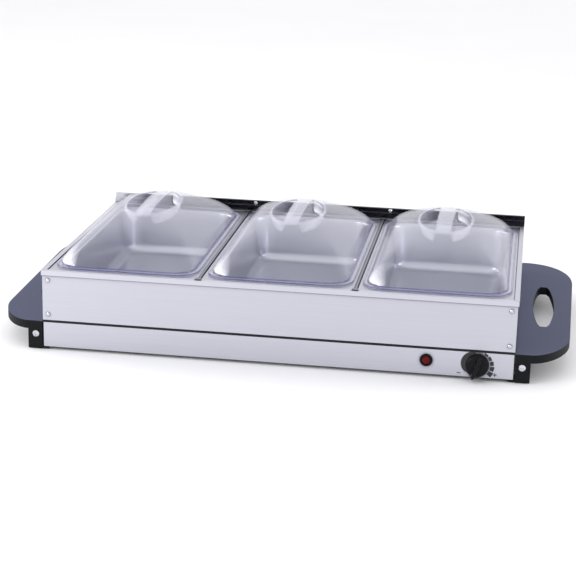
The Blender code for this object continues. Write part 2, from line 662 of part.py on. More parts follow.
def rail_section():
    """Folded section as (inward, height): outer lip, top strip, step down and ledge for the pan rims."""
    step, drop = RAIL_WIDTH, LEDGE_TOP - LEDGE_SHEET
    return [(0, RAIL_TOP - RAIL_HEIGHT), (0, RAIL_TOP), (step, RAIL_TOP), (step, LEDGE_TOP),
            (step + LEDGE_WIDTH, LEDGE_TOP), (step + LEDGE_WIDTH, drop), (step - LEDGE_SHEET, drop),
            (step - LEDGE_SHEET, RAIL_TOP - SHEET), (SHEET, RAIL_TOP - SHEET),
            (SHEET, RAIL_TOP - RAIL_HEIGHT)]


def strip_mesh(section, start, stop, start_mitre=0, stop_mitre=0):
    """A folded strip along X; a mitred end is cut back by each point's distance inward."""
    rings = [[Vector((start + start_mitre * inward, inward, height)) for inward, height in section],
             [Vector((stop - stop_mitre * inward, inward, height)) for inward, height in section]]
    return mesh_of(loft(rings))


def make_rails():
    """Four top rails: the front corners are mitred, and the side rails butt against the rear one."""
    seam = GAP / 2
    section = rail_section()
    front = strip_mesh(section, seam - FRAME_HALF_X, FRAME_HALF_X - seam, 1, 1)
    place("front_rail", front, "brushed steel", location=(0, RAIL_FRONT_Y, 0))
    side_length = FRAME_DEPTH - REAR_STRIP - GAP
    place("right_rail", strip_mesh(section, seam, side_length, 1, 0), "brushed steel",
          location=(FRAME_HALF_X, RAIL_FRONT_Y, 0), rotation=(0, 0, math.radians(90)))
    place("left_rail", strip_mesh(section, -side_length, -seam, 0, 1), "brushed steel",
          location=(-FRAME_HALF_X, RAIL_FRONT_Y, 0), rotation=(0, 0, math.radians(-90)))

    strip = [(0, RAIL_TOP - RAIL_HEIGHT), (0, RAIL_TOP), (REAR_STRIP, RAIL_TOP),
             (REAR_STRIP, RAIL_TOP - SHEET), (SHEET, RAIL_TOP - SHEET), (SHEET, RAIL_TOP - RAIL_HEIGHT)]
    half_turn = (0, 0, math.radians(180))
    rear = place("rear_rail", strip_mesh(strip, -FRAME_HALF_X, FRAME_HALF_X), "brushed steel",
                 location=(0, RAIL_REAR_Y, 0), rotation=half_turn)
    wall, drop = REAR_STRIP - LEDGE_SHEET, LEDGE_TOP - LEDGE_SHEET
    step = [(wall, RAIL_TOP - SHEET / 2), (REAR_STRIP, RAIL_TOP - SHEET / 2), (REAR_STRIP, LEDGE_TOP),
            (REAR_STRIP + LEDGE_WIDTH, LEDGE_TOP), (REAR_STRIP + LEDGE_WIDTH, drop), (wall, drop)]
    half_ledge = FRAME_HALF_X - RAIL_WIDTH - LEDGE_WIDTH - GAP
    join(rear, place("ledge", strip_mesh(step, -half_ledge, half_ledge), "brushed steel",
                     location=(0, RAIL_REAR_Y, 0), rotation=half_turn))


def make_lid_rail():
    """Raised polished rail along the back: a stepped strip that stops a lid from sliding off."""
    low, shelf = RAIL_TOP + GAP, 104.4 * MM
    upper, lower = 4 * MM, 7.5 * MM
    skin = 1.2 * MM
    section = [(0, low), (0, LID_RAIL_TOP), (upper, LID_RAIL_TOP), (upper, shelf), (lower, shelf),
               (lower, low), (lower - skin, low), (lower - skin, shelf - skin),
               (upper - skin, shelf - skin), (upper - skin, LID_RAIL_TOP - skin),
               (skin, LID_RAIL_TOP - skin), (skin, low)]
    rail = place("lid_rail", strip_mesh(section, -FRAME_HALF_X, FRAME_HALF_X), "dark steel",
                 location=(0, RAIL_REAR_Y, 0), rotation=(0, 0, math.radians(180)))
    face = RAIL_REAR_Y - upper
    mesh = screw_mesh("rail_screw", 2.6 * MM, 1.8 * MM, 1.4 * MM, 2.4 * MM)
    height = (shelf + LID_RAIL_TOP) / 2
    for side, sign in (("left", -1), ("right", 1)):
        x = sign * DIVIDER_X + 8 * MM
        cut(rail, rod(1.7 * MM, (x, face - 3 * MM, height), (x, face + 2 * MM, height), 12))
        place("rail_screw_" + side, mesh, "bright steel", smooth=True,
              location=(x, face, height), rotation=FACING_FRONT)


def make_dividers():
    """Bars between the pans: a web with a ledge on each side, and a tab over the rail at each end."""
    half, lap = DIVIDER_WIDTH / 2, LEDGE_SHEET
    ledge, drop, foot = half + 5 * MM, LEDGE_TOP - LEDGE_SHEET, 86 * MM
    section = [(-half, RAIL_TOP), (half, RAIL_TOP), (half, LEDGE_TOP), (ledge, LEDGE_TOP), (ledge, drop),
               (half, drop), (half, foot), (-half, foot), (-half, drop), (-ledge, drop),
               (-ledge, LEDGE_TOP), (-half, LEDGE_TOP)]
    front_ledge = RAIL_FRONT_Y + RAIL_WIDTH + LEDGE_WIDTH + GAP
    rear_ledge = RAIL_REAR_Y - REAR_STRIP - LEDGE_WIDTH - GAP
    front_wall = RAIL_FRONT_Y + RAIL_WIDTH + GAP
    rear_wall = RAIL_REAR_Y - REAR_STRIP - GAP
    tab_low, tab_top = RAIL_TOP + GAP, RAIL_TOP + 1.3 * MM
    tab_half, tab_reach, tab_root = 3.5 * MM, 4.5 * MM, 2 * MM
    for side, sign in (("left", -1), ("right", 1)):
        x = sign * DIVIDER_X
        ends = [[Vector((x + across, y, height)) for across, height in section]
                for y in (front_ledge, rear_ledge)]
        divider = place("divider_" + side, mesh_of(loft(ends)), "brushed steel")
        web = box((x - half, front_wall, LEDGE_TOP + GAP), (x + half, rear_wall, RAIL_TOP))
        join(divider, mesh_of(web))
        for wall, inward in ((front_wall, 1), (rear_wall, -1)):
            near, far = sorted((wall, wall + inward * tab_root))
            join(divider, mesh_of(box((x - half, near, LEDGE_TOP + lap), (x + half, far, tab_top))))
            near, far = sorted((wall - inward * tab_reach, wall + inward * tab_root))
            join(divider, mesh_of(box((x - tab_half, near, tab_low), (x + tab_half, far, tab_top))))


def make_rivets():
    """Domed rivets that hold the end panels to the side panels."""
    grip = 2 * SHEET + 3 * GAP
    tail = grip + 1.2 * MM
    profile = [(0.9 * MM, -tail), (2.3 * MM, -tail + 0.5 * MM), (2.3 * MM, -grip), (1.5 * MM, -grip),
               (1.5 * MM, GAP), (2.5 * MM, GAP), (2.3 * MM, 0.9 * MM), (1.5 * MM, 1.4 * MM), (0, 1.6 * MM)]
    mesh = mesh_of(turned(profile, 12), "rivet")
    for end, y, facing in (("front", FRONT_Y, FACING_FRONT), ("rear", PANEL_REAR_Y, FACING_REAR)):
        for side, sign in (("left", -1), ("right", 1)):
            for level, height in zip(("lower", "upper"), RIVET_HEIGHTS):
                place(f"rivet_{end}_{side}_{level}", mesh, "bright steel", smooth=True,
                      location=(sign * RIVET_X, y, height), rotation=facing)


# ---- Pans and lids ----

def pan_mesh():
    """Deep pan with a flat square-cornered rim, drawn down to a rounded bottom."""
    wall = 0.8 * MM
    mouth_x, mouth_y = PAN_MOUTH
    under = PAN_RIM_TOP - SHEET
    taper = 7 * MM

    def ring(inset, corner, height):
        return outline_ring(rounded_rectangle(mouth_x - inset, mouth_y - inset, corner), height)

    rim = rounded_rectangle(*PAN_FLANGE, 1.5 * MM)
    rings = [
        ring(taper + 11 * MM, 17 * MM, PAN_BOTTOM),
        ring(taper + 3 * MM, 21 * MM, PAN_BOTTOM + 2.5 * MM),
        ring(taper - wall, 23 * MM, PAN_BOTTOM + 10 * MM),
        ring(2 * MM - wall, 26 * MM, under - 3 * MM),
        ring(-1 * MM - wall, 28 * MM, under),
        outline_ring(rim, under),
        outline_ring(rim, PAN_RIM_TOP),
        ring(-1 * MM, 27 * MM, PAN_RIM_TOP),
        ring(2 * MM, 25 * MM, under - 2.6 * MM),
        ring(taper, 22 * MM, PAN_BOTTOM + 10 * MM),
        ring(taper + 3.6 * MM, 20 * MM, PAN_BOTTOM + 3.2 * MM),
        ring(taper + 11 * MM, 16 * MM, PAN_BOTTOM + wall),
    ]
    return mesh_of(loft(rings), "pan")


def lid_outline(half_x, half_y, corner, roundness):
    """Rounded rectangle that turns into an ellipse as roundness goes from 0 to 1."""
    points = []
    for x, y in rounded_rectangle(half_x, half_y, corner, 4, (4, 2)):
        angle = math.atan2(y / half_y, x / half_x)
        points.append((x + (half_x * math.cos(angle) - x) * roundness,
                       y + (half_y * math.sin(angle) - y) * roundness))
    return points


def dome_rings(inset, foot_z, top_z):
    """Rings of the lid's dome from its foot to its tip; inset shrinks it for the inner face."""
    rings = []
    for scale in (1.0, 0.95, 0.87, 0.77, 0.64, 0.48, 0.28):
        rise = (1 - scale ** 2.45) ** 0.72
        outline = lid_outline((LID_FOOT[0] - inset) * scale, (LID_FOOT[1] - inset) * scale,
                              26 * MM * scale, 1 - scale ** 1.5)
        rings.append(outline_ring(outline, foot_z + (top_z - foot_z) * rise))
    rings.append([Vector((0, 0, top_z))])
    return rings


def grip_pocket(sign, grow):
    """Half-moon block beside the grip bar, tapered to its floor; grow thickens it all round."""
    rings = []
    for height, draft in ((LID_TOP - GRIP_DEPTH - grow, 2.5 * MM), (LID_TOP + 20 * MM, -1 * MM)):
        half_x = GRIP_OVAL[0] + grow - draft
        half_y = GRIP_OVAL[1] + grow - draft
        chord = GRIP_BAR_HALF - grow + draft * 0.6
        reach = math.acos(chord / half_x)
        steps = 10
        angles = [reach * (2 * step / steps - 1) for step in range(steps + 1)]
        rings.append([Vector((sign * half_x * math.cos(a), half_y * math.sin(a), height)) for a in angles])
    return mesh_of(loft(rings))


def lid_mesh():
    """Clear domed lid with a flat rim and two grip pockets, left and right of a bar."""
    foot_z = LID_BOTTOM + LID_FLANGE
    edge = 0.6 * MM
    rim = [outline_ring(lid_outline(*LID_RIM, 30 * MM, 0), LID_BOTTOM),
           outline_ring(lid_outline(*LID_RIM, 30 * MM, 0), foot_z - edge),
           outline_ring(lid_outline(LID_RIM[0] - edge, LID_RIM[1] - edge, 30 * MM, 0), foot_z),
           outline_ring(lid_outline(LID_FOOT[0] + edge, LID_FOOT[1] + edge, 27 * MM, 0), foot_z)]
    lid = place("lid", mesh_of(loft(rim + dome_rings(0, foot_z + edge, LID_TOP))), "clear plastic")
    inner_foot = lid_outline(LID_FOOT[0] - LID_WALL, LID_FOOT[1] - LID_WALL, 26 * MM, 0)
    inner_rings = [outline_ring(inner_foot, LID_BOTTOM - 5 * MM)]
    inner_rings += dome_rings(LID_WALL, foot_z, LID_TOP - LID_WALL)
    hollow = place("hollow", mesh_of(loft(inner_rings)), "clear plastic")
    for sign in (-1, 1):
        cut(hollow, grip_pocket(sign, LID_WALL))
        cut(lid, grip_pocket(sign, 0))
    cut(lid, hollow)
    mesh = lid.data
    bpy.data.objects.remove(lid, do_unlink=True)
    return mesh


def make_pans_and_lids():
    pan, lid = pan_mesh(), lid_mesh()
    for side, x in PAN_X.items():
        place("pan_" + side, pan, "pan steel", smooth=True, location=(x, PAN_CENTRE_Y, 0))
        place("lid_" + side, lid, "clear plastic", smooth=True, location=(x, PAN_CENTRE_Y, 0))


def main():
    clear_scene()
    make_finishes()
    make_housing()
    make_hot_plate()
    make_gasket()
    make_bottom_cover()
    make_insulation()
    make_heating()
    make_thermostat()
    make_knob()
    make_lamp()
    make_gland()
    make_wiring()
    make_handle("left", -1)
    make_handle("right", 1)
    make_handle_screws()
    make_end_panels()
    make_side_panels()
    make_rails()
    make_lid_rail()
    make_dividers()
    make_rivets()
    make_pans_and_lids()


main()
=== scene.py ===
"""Looks of the electric buffet server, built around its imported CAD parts.

Lengths are metres in the frame of the CAD part: +X right, +Y back, +Z up, the origin on the table.
Finer meshes stand for the lids and pans. The other CAD parts keep their shape and get soft edges,
and every surface gets a procedural material.
"""

import math

import bmesh
import bpy
from mathutils import Matrix, Vector


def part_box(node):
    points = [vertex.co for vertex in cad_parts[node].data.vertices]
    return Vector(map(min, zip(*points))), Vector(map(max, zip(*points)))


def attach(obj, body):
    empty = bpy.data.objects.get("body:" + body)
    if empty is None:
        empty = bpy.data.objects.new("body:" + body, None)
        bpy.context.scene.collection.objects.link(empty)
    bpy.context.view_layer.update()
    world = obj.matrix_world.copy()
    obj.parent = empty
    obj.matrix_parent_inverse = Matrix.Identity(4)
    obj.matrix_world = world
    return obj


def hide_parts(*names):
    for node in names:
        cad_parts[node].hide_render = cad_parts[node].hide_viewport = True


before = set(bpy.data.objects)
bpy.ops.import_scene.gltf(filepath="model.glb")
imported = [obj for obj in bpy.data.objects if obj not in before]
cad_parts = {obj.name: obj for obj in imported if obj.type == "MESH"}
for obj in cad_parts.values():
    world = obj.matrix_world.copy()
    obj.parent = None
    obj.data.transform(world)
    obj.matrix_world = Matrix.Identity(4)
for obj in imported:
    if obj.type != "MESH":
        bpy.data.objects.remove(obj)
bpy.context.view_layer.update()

MM = 0.001
SIDES = ("left", "centre", "right")


def middle_of(node):
    low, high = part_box(node)
    return (low + high) / 2


# Places read from the frame
FRONT_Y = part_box("base_housing")[0].y
KNOB_CENTRE = (middle_of("thermostat_shaft").x, middle_of("thermostat_shaft").z)


# ---- Materials ----

# Painted shade in seams and under lips: how far it reaches and the grey it darkens towards.
SEAM_REACH = 4.5 * MM
SEAM_SHADE_GREY = (0.07, 0.07, 0.085)
# Painted highlight on the lids: the side their bright curves face, and its white.
HIGHLIGHT_SIDE = Vector((-0.62, -0.60, 0.50)).normalized()
HIGHLIGHT_WHITE = (0.95, 0.95, 0.97)
# Painted reflection and highlight on the dark rail: where its left end lightens, and the height of its
# lit shelf.
REFLECTION_END_X = (-255 * MM, -235 * MM)
SHELF_HEIGHT = (106 * MM, 108 * MM)


class Paint:
    """A Principled material and short calls that add procedural nodes to it."""

    def __init__(self, name, colour, roughness, metallic=0.0):
        self.material = bpy.data.materials.new(name)
        self.material.use_nodes = True
        self.tree = self.material.node_tree
        self.shader = self.tree.nodes["Principled BSDF"]
        self.set("Base Color", (*colour, 1.0))
        self.set("Roughness", roughness)
        self.set("Metallic", metallic)

    def set(self, socket, value):
        self.shader.inputs[socket].default_value = value

    def add(self, kind, **settings):
        node = self.tree.nodes.new(kind)
        for name, value in settings.items():
            setattr(node, name, value)
        return node

    def link(self, source, target):
        self.tree.links.new(source, target)

    def noise(self, stretch, detail=3.0):
        """Noise in the part's own coordinates; stretch is cycles per metre along X, Y and Z."""
        place = self.add("ShaderNodeTexCoord")
        mapping = self.add("ShaderNodeMapping")
        mapping.inputs["Scale"].default_value = stretch
        noise = self.add("ShaderNodeTexNoise")
        noise.inputs["Scale"].default_value = 1.0
        noise.inputs["Detail"].default_value = detail
        self.link(place.outputs["Object"], mapping.inputs["Vector"])
        self.link(mapping.outputs["Vector"], noise.inputs["Vector"])
        return noise.outputs["Fac"]

    def spread(self, source, low, high, start=0.3, stop=0.7):
        """Maps a 0 to 1 value, from start to stop, onto low to high."""
        node = self.add("ShaderNodeMapRange")
        node.inputs["From Min"].default_value = start
        node.inputs["From Max"].default_value = stop
        node.inputs["To Min"].default_value = low
        node.inputs["To Max"].default_value = high
        self.link(source, node.inputs["Value"])
        return node.outputs["Result"]

    def math(self, operation, first, second):
        node = self.add("ShaderNodeMath", operation=operation)
        for socket, value in zip(node.inputs, (first, second)):
            if isinstance(value, (int, float)):
                socket.default_value = value
            else:
                self.link(value, socket)
        return node.outputs["Value"]

    def mix(self, factor, first, second):
        """Colour that goes from first to second as factor goes from 0 to 1."""
        node = self.add("ShaderNodeMix", data_type="RGBA")
        self.link(factor, node.inputs["Factor"])
        for socket, value in zip((node.inputs[6], node.inputs[7]), (first, second)):
            if isinstance(value, tuple):
                socket.default_value = (*value, 1.0)
            else:
                self.link(value, socket)
        return node.outputs[2]

    def upward(self, start, stop):
        """0 on faces that lean less than start upwards, 1 on those that face up."""
        place = self.add("ShaderNodeTexCoord")
        split = self.add("ShaderNodeSeparateXYZ")
        self.link(place.outputs["Normal"], split.inputs["Vector"])
        return self.spread(split.outputs["Z"], 0.0, 1.0, start, stop)

    def toward(self, side, start, stop):
        """0 on faces that point away from a side, 1 on those that face it."""
        place = self.add("ShaderNodeTexCoord")
        dot = self.add("ShaderNodeVectorMath", operation="DOT_PRODUCT")
        self.link(place.outputs["Normal"], dot.inputs[0])
        dot.inputs[1].default_value = side
        return self.spread(dot.outputs["Value"], 0.0, 1.0, start, stop)

    def seam_shade(self):
        """Painted shade from ambient occlusion: 0 in tight seams and under lips, 1 on open faces."""
        shade = self.add("ShaderNodeAmbientOcclusion", samples=8)
        shade.inputs["Distance"].default_value = SEAM_REACH
        return self.spread(shade.outputs["AO"], 0.0, 1.0, 0.6, 0.99)

    def bump(self, height, depth, strength=1.0):
        node = self.add("ShaderNodeBump")
        node.inputs["Distance"].default_value = depth
        node.inputs["Strength"].default_value = strength
        self.link(height, node.inputs["Height"])
        self.link(node.outputs["Normal"], self.shader.inputs["Normal"])

    def drive(self, socket, source):
        self.link(source, self.shader.inputs[socket])


def brushed(name, grain, colour, roughness=0.34):
    """Brushed sheet: fine lines across the grain's long axis, soft bands and faint cloudiness,
    darkened by painted shade in seams and under lips.
    """
    paint = Paint(name, colour, roughness, 1.0)
    fine = paint.noise(grain, 2.0)
    bands = paint.noise(tuple(value / 9 for value in grain), 2.0)
    clouds = paint.noise((9.0, 9.0, 9.0), 3.0)
    dark = tuple(value * 0.95 for value in colour)
    light = tuple(min(value * 1.03, 1.0) for value in colour)
    lines = paint.mix(paint.spread(fine, 0.0, 1.0, 0.35, 0.65), dark, light)
    sheet = paint.mix(paint.spread(bands, 0.0, 0.25), lines, light)
    # Painted shade: the sheet darkens towards SEAM_SHADE_GREY in seams and under lips.
    paint.drive("Base Color", paint.mix(paint.seam_shade(), SEAM_SHADE_GREY, sheet))
    streaks = paint.spread(fine, -0.03, 0.04)
    patches = paint.spread(clouds, roughness, roughness + 0.05)
    paint.drive("Roughness", paint.math("ADD", streaks, patches))
    paint.bump(fine, 0.008 * MM, 0.2)
    return paint.material


def satin_steel():
    """Drawn sheet of the pans: an even satin with a faint cloudiness."""
    paint = Paint("pan_satin", (0.62, 0.63, 0.70), 0.24, 1.0)
    grain = paint.noise((60.0, 60.0, 60.0), 2.0)
    clouds = paint.noise((5.0, 5.0, 5.0), 2.0)
    dark, light = (0.46, 0.465, 0.53), (0.50, 0.505, 0.57)
    paint.drive("Base Color", paint.mix(paint.spread(clouds, 0.0, 1.0), dark, light))
    gloss = paint.math("ADD", paint.spread(grain, 0.0, 0.01), paint.spread(clouds, 0.27, 0.30))
    paint.drive("Roughness", gloss)
    return paint.material


def polished(name, colour, roughness, metallic=1.0):
    """Smooth metal or hard plastic with faint handling marks in its gloss."""
    paint = Paint(name, colour, roughness, metallic)
    marks = paint.noise((120.0, 120.0, 120.0), 4.0)
    light = tuple(min(value * 1.12 + 0.004, 1.0) for value in colour)
    paint.drive("Base Color", paint.mix(paint.spread(marks, 0.0, 1.0), colour, light))
    paint.drive("Roughness", paint.spread(marks, roughness * 0.8, roughness * 1.25))
    return paint.material


def dark_rail():
    """Dark polished rail, with a painted highlight on its low shelf and a painted reflection that
    lightens it towards its left end.
    """
    paint = Paint("dark_polish", (0.02, 0.02, 0.026), 0.15, 1.0)
    marks = paint.noise((6.0, 900.0, 900.0), 3.0)
    deep, worn = (0.016, 0.016, 0.020), (0.032, 0.032, 0.038)
    dark = paint.mix(paint.spread(marks, 0.0, 1.0), deep, worn)
    place = paint.add("ShaderNodeTexCoord")
    split = paint.add("ShaderNodeSeparateXYZ")
    paint.link(place.outputs["Object"], split.inputs["Vector"])
    # Painted reflection: the rail turns light grey towards its left end.
    end_reflection = paint.spread(split.outputs["X"], 1.0, 0.0, *REFLECTION_END_X)
    dark = paint.mix(end_reflection, dark, (0.62, 0.62, 0.66))
    # Painted highlight: faces that look up, low on the rail, turn near white.
    low = paint.spread(split.outputs["Z"], 1.0, 0.0, *SHELF_HEIGHT)
    shelf = paint.math("MULTIPLY", paint.upward(0.7, 0.95), low)
    paint.drive("Base Color", paint.mix(shelf, dark, (0.80, 0.80, 0.84)))
    paint.drive("Roughness", paint.spread(marks, 0.12, 0.20))
    return paint.material


def moulded(name, colour, roughness, grain_depth, painted_sheen_colour=None):
    """Moulded plastic with spark-eroded grain; upward faces take the second colour, a painted sheen,
    if there is one.
    """
    paint = Paint(name, colour, roughness)
    paint.set("Specular IOR Level", 0.12)
    grain = paint.noise((1400.0, 1400.0, 1400.0), 2.0)
    clouds = paint.noise((22.0, 22.0, 22.0), 3.0)
    worn = tuple(value * 1.25 for value in colour)
    shade = paint.mix(paint.spread(grain, 0.0, 1.0), colour, worn)
    # Painted sheen: faces that look up turn to the lighter second colour.
    if painted_sheen_colour:
        light = tuple(value * 1.14 for value in painted_sheen_colour)
        top = paint.mix(paint.spread(clouds, 0.0, 1.0), painted_sheen_colour, light)
        shade = paint.mix(paint.upward(0.55, 0.9), shade, top)
    paint.drive("Base Color", shade)
    patches = paint.spread(clouds, roughness, roughness + 0.06)
    paint.drive("Roughness", paint.math("ADD", paint.spread(grain, -0.05, 0.05), patches))
    paint.bump(grain, grain_depth, 0.6)
    return paint.material


def clear_plastic(name, colour, facing, grazing, haze, painted_highlight=0.0):
    """Clear moulding: nearly see-through face on, denser at a glancing angle, with a faint haze.
    fogged is how dense it gets on the curves that face HIGHLIGHT_SIDE, which also turn white there: a
    painted highlight."""
    paint = Paint(name, colour, 0.07)
    paint.set("Specular IOR Level", 0.6)
    paint.set("Coat Weight", 0.4)
    paint.set("Coat Roughness", 0.03)
    glance = paint.add("ShaderNodeLayerWeight")
    glance.inputs["Blend"].default_value = 0.35
    clouds = paint.noise((14.0, 14.0, 14.0), 3.0)
    scuffs = paint.noise((500.0, 500.0, 500.0), 3.0)
    density = paint.spread(glance.outputs["Facing"], facing, grazing, 0.25, 1.0)
    density = paint.math("ADD", density, paint.spread(clouds, 0.0, haze))
    light = tuple(min(value * 1.08, 1.0) for value in colour)
    shade = paint.mix(paint.spread(clouds, 0.0, 1.0), colour, light)
    # Painted highlight: curves that face HIGHLIGHT_SIDE turn denser and white.
    if painted_highlight:
        highlight_mask = paint.toward(HIGHLIGHT_SIDE, 0.84, 0.985)
        density = paint.math("ADD", density, paint.math("MULTIPLY", highlight_mask, painted_highlight))
        shade = paint.mix(highlight_mask, shade, HIGHLIGHT_WHITE)
    paint.drive("Alpha", density)
    paint.drive("Base Color", shade)
    paint.drive("Roughness", paint.spread(scuffs, 0.05, 0.10))
    return paint.material


def lamp_red():
    """Dark red translucent lens with moulded facets."""
    paint = Paint("lamp_red", (0.09, 0.004, 0.004), 0.22)
    paint.set("Specular IOR Level", 0.15)
    place = paint.add("ShaderNodeTexCoord")
    facets = paint.add("ShaderNodeTexVoronoi", feature="DISTANCE_TO_EDGE")
    facets.inputs["Scale"].default_value = 520.0
    paint.link(place.outputs["Object"], facets.inputs["Vector"])
    shade = paint.spread(facets.outputs["Distance"], 0.0, 1.0, 0.0, 0.3)
    paint.drive("Base Color", paint.mix(shade, (0.06, 0.002, 0.003), (0.15, 0.006, 0.006)))
    paint.drive("Roughness", paint.spread(facets.outputs["Distance"], 0.12, 0.24, 0.0, 0.3))
    paint.bump(facets.outputs["Distance"], 0.25 * MM, 0.5)
    return paint.material


def print_ink():
    """Screen-printed black with slightly uneven cover."""
    paint = Paint("print_ink", (0.012, 0.012, 0.014), 0.5)
    cover = paint.noise((900.0, 900.0, 900.0), 3.0)
    full, thin = (0.010, 0.010, 0.012), (0.03, 0.03, 0.034)
    paint.drive("Base Color", paint.mix(paint.spread(cover, 0.0, 1.0), full, thin))
    paint.drive("Roughness", paint.spread(cover, 0.42, 0.58))
    return paint.material


def table_top():
    paint = Paint("table_top", (0.88, 0.88, 0.89), 0.75)
    clouds = paint.noise((3.0, 3.0, 3.0), 2.0)
    dark, light = (0.875, 0.875, 0.885), (0.89, 0.89, 0.90)
    paint.drive("Base Color", paint.mix(paint.spread(clouds, 0.0, 1.0), dark, light))
    return paint.material


WALL_COLOUR = (0.56, 0.56, 0.62)
RAIL_COLOUR = (0.60, 0.60, 0.66)
# Painted shade: the divider steel is a darker copy of the wall steel, standing in for the shade
# between the pans.
DIVIDER_SHADE_COLOUR = (0.22, 0.22, 0.27)
STEEL_WALL = brushed("steel_wall", (9.0, 9.0, 4200.0), WALL_COLOUR)
STEEL_ALONG_X = brushed("steel_along_x", (9.0, 4200.0, 4200.0), RAIL_COLOUR)
STEEL_ALONG_Y = brushed("steel_along_y", (4200.0, 9.0, 4200.0), WALL_COLOUR)
SHADED_STEEL_DIVIDER = brushed("steel_divider", (4200.0, 9.0, 4200.0), DIVIDER_SHADE_COLOUR)
PAN_SATIN = satin_steel()
DARK_POLISH = dark_rail()
ZINC = brushed("zinc_sheet", (30.0, 400.0, 400.0), (0.62, 0.63, 0.64), 0.42)
BRIGHT = polished("bright_steel_polish", (0.58, 0.59, 0.63), 0.2)
# The handles' faces that look up get a painted slate-blue sheen over the near-black plastic.
SLATE = moulded("slate_moulding", (0.006, 0.007, 0.008), 0.55, 0.03 * MM, (0.062, 0.068, 0.112))
BLACK = moulded("black_moulding", (0.006, 0.006, 0.007), 0.32, 0.02 * MM)
RUBBER = moulded("rubber_moulding", (0.02, 0.02, 0.022), 0.80, 0.05 * MM)
# The last number sets the painted highlight on the lids' curves that face HIGHLIGHT_SIDE.
CLEAR = clear_plastic("lid_clear", (0.74, 0.74, 0.84), 0.03, 0.36, 0.02, 0.6)
CLEAR_EDGE = clear_plastic("lid_edge", (0.07, 0.07, 0.24), 0.38, 0.85, 0.03)
CLEAR_LIP = clear_plastic("lid_lip", (0.72, 0.72, 0.83), 0.20, 0.52, 0.06)
LAMP_RED = lamp_red()
CERAMIC = polished("glazed_ceramic", (0.85, 0.83, 0.78), 0.45, 0.0)
ELEMENT = polished("element_heat_stain", (0.20, 0.18, 0.17), 0.5)
MICA = polished("mica_flake", (0.60, 0.52, 0.38), 0.55, 0.0)
BRASS = polished("machined_brass", (0.70, 0.52, 0.22), 0.28)
JACKET = moulded("silicone_jacket", (0.50, 0.08, 0.05), 0.55, 0.02 * MM)
INK = print_ink()

SLOT_FINISHES = {
    "brushed_steel": STEEL_WALL, "pan_steel": PAN_SATIN, "dark_steel": DARK_POLISH, "zinc_steel": ZINC,
    "bright_steel": BRIGHT, "slate_plastic": SLATE, "black_plastic": BLACK, "black_rubber": RUBBER,
    "clear_plastic": CLEAR, "red_lens": LAMP_RED, "white_ceramic": CERAMIC, "element_sheath": ELEMENT,
    "mica_sheet": MICA, "brass": BRASS, "lead_jacket": JACKET,
}
ALONG_X = ("front_rail", "rear_rail", "hot_plate")
ALONG_Y = ("left_rail", "right_rail")
DIVIDERS = ("divider_left", "divider_right")
SOFT_EDGES = {
    0.25 * MM: ("frame_front_panel", "frame_rear_panel", "frame_left_panel", "frame_right_panel",
                "front_rail", "rear_rail", "left_rail", "right_rail", "divider_left", "divider_right",
                "hot_plate", "bottom_cover", "lid_rail"),
    0.5 * MM: ("left_handle", "right_handle", "control_knob", "foot_pad_front_left",
               "foot_pad_front_right", "foot_pad_rear_left", "foot_pad_rear_right"),
}


def finish_cad_nodes():
    """Gives each CAD node the material of its slot, and soft edges where light would catch them."""
    for name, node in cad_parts.items():
        if name in ALONG_X:
            finish = STEEL_ALONG_X
        elif name in ALONG_Y:
            finish = STEEL_ALONG_Y
        elif name in DIVIDERS:
            finish = SHADED_STEEL_DIVIDER
        else:
            finish = SLOT_FINISHES[slot_of(node)]
        for slot in node.material_slots:
            slot.link = "OBJECT"
            slot.material = finish
    for width, names in SOFT_EDGES.items():
        for name in names:
            soften(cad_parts[name], width)


def slot_of(node):
    """Name of the record's material slot that a CAD node was packed with."""
    packed = node.material_slots[0].material.name.split(".")[0]
    return packed if packed in SLOT_FINISHES else packed.replace(" ", "_")


def soften(node, width):
    """Merges the split edges of an imported mesh and rounds the sharp ones."""
    weld = node.modifiers.new("weld", "WELD")
    weld.merge_threshold = 0.01 * MM
    bevel = node.modifiers.new("soft_edges", "BEVEL")
    bevel.width = width
    bevel.segments = 2
    bevel.limit_method = "ANGLE"
    bevel.angle_limit = math.radians(40)
    bevel.harden_normals = True


# ---- Mesh building ----

def rounded_outline(half_x, half_y, corner, angles):
    """Points of a rounded rectangle where rays at these angles, in its own proportions, meet it."""
    points = []
    inner_x, inner_y = half_x - corner, half_y - corner
    for angle in angles:
        x, y = abs(math.cos(angle)) * half_x, abs(math.sin(angle)) * half_y
        if y * half_x <= inner_y * x:
            reach = half_x / x
        elif x * half_y <= inner_x * y:
            reach = half_y / y
        else:
            along = (x * inner_x + y * inner_y) / (x * x + y * y)
            off = (inner_x ** 2 + inner_y ** 2 - corner ** 2) / (x * x + y * y)
            reach = along + math.sqrt(max(along * along - off, 0.0))
        points.append((math.copysign(x * reach, math.cos(angle)),
                       math.copysign(y * reach, math.sin(angle))))
    return points


def at_height(outline, height):
    return [Vector((x, y, height)) for x, y in outline]


def bridge(shape, first, second, closed=True):
    """Faces between two rows of vertices of equal length, leaving out corners that coincide."""
    count = len(first) if closed else len(first) - 1
    made = []
    for here in range(count):
        after = (here + 1) % len(first)
        corners = list(dict.fromkeys([first[here], first[after], second[after], second[here]]))
        if len(corners) > 2:
            made.append(shape.faces.new(corners))
    return made


def piece(name, shape, materials, body, replaced=(), location=(0, 0, 0)):
    """Makes an object of a bmesh, its body and the CAD nodes it stands for."""
    mesh = bpy.data.meshes.new(name)
    shape.to_mesh(mesh)
    for material in materials:
        mesh.materials.append(material)
    mesh.shade_smooth()
    made = bpy.data.objects.new(name, mesh)
    made.location = location
    bpy.context.scene.collection.objects.link(made)
    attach(made, body)
    if replaced:
        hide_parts(*replaced)
    return made


# ---- Pans ----

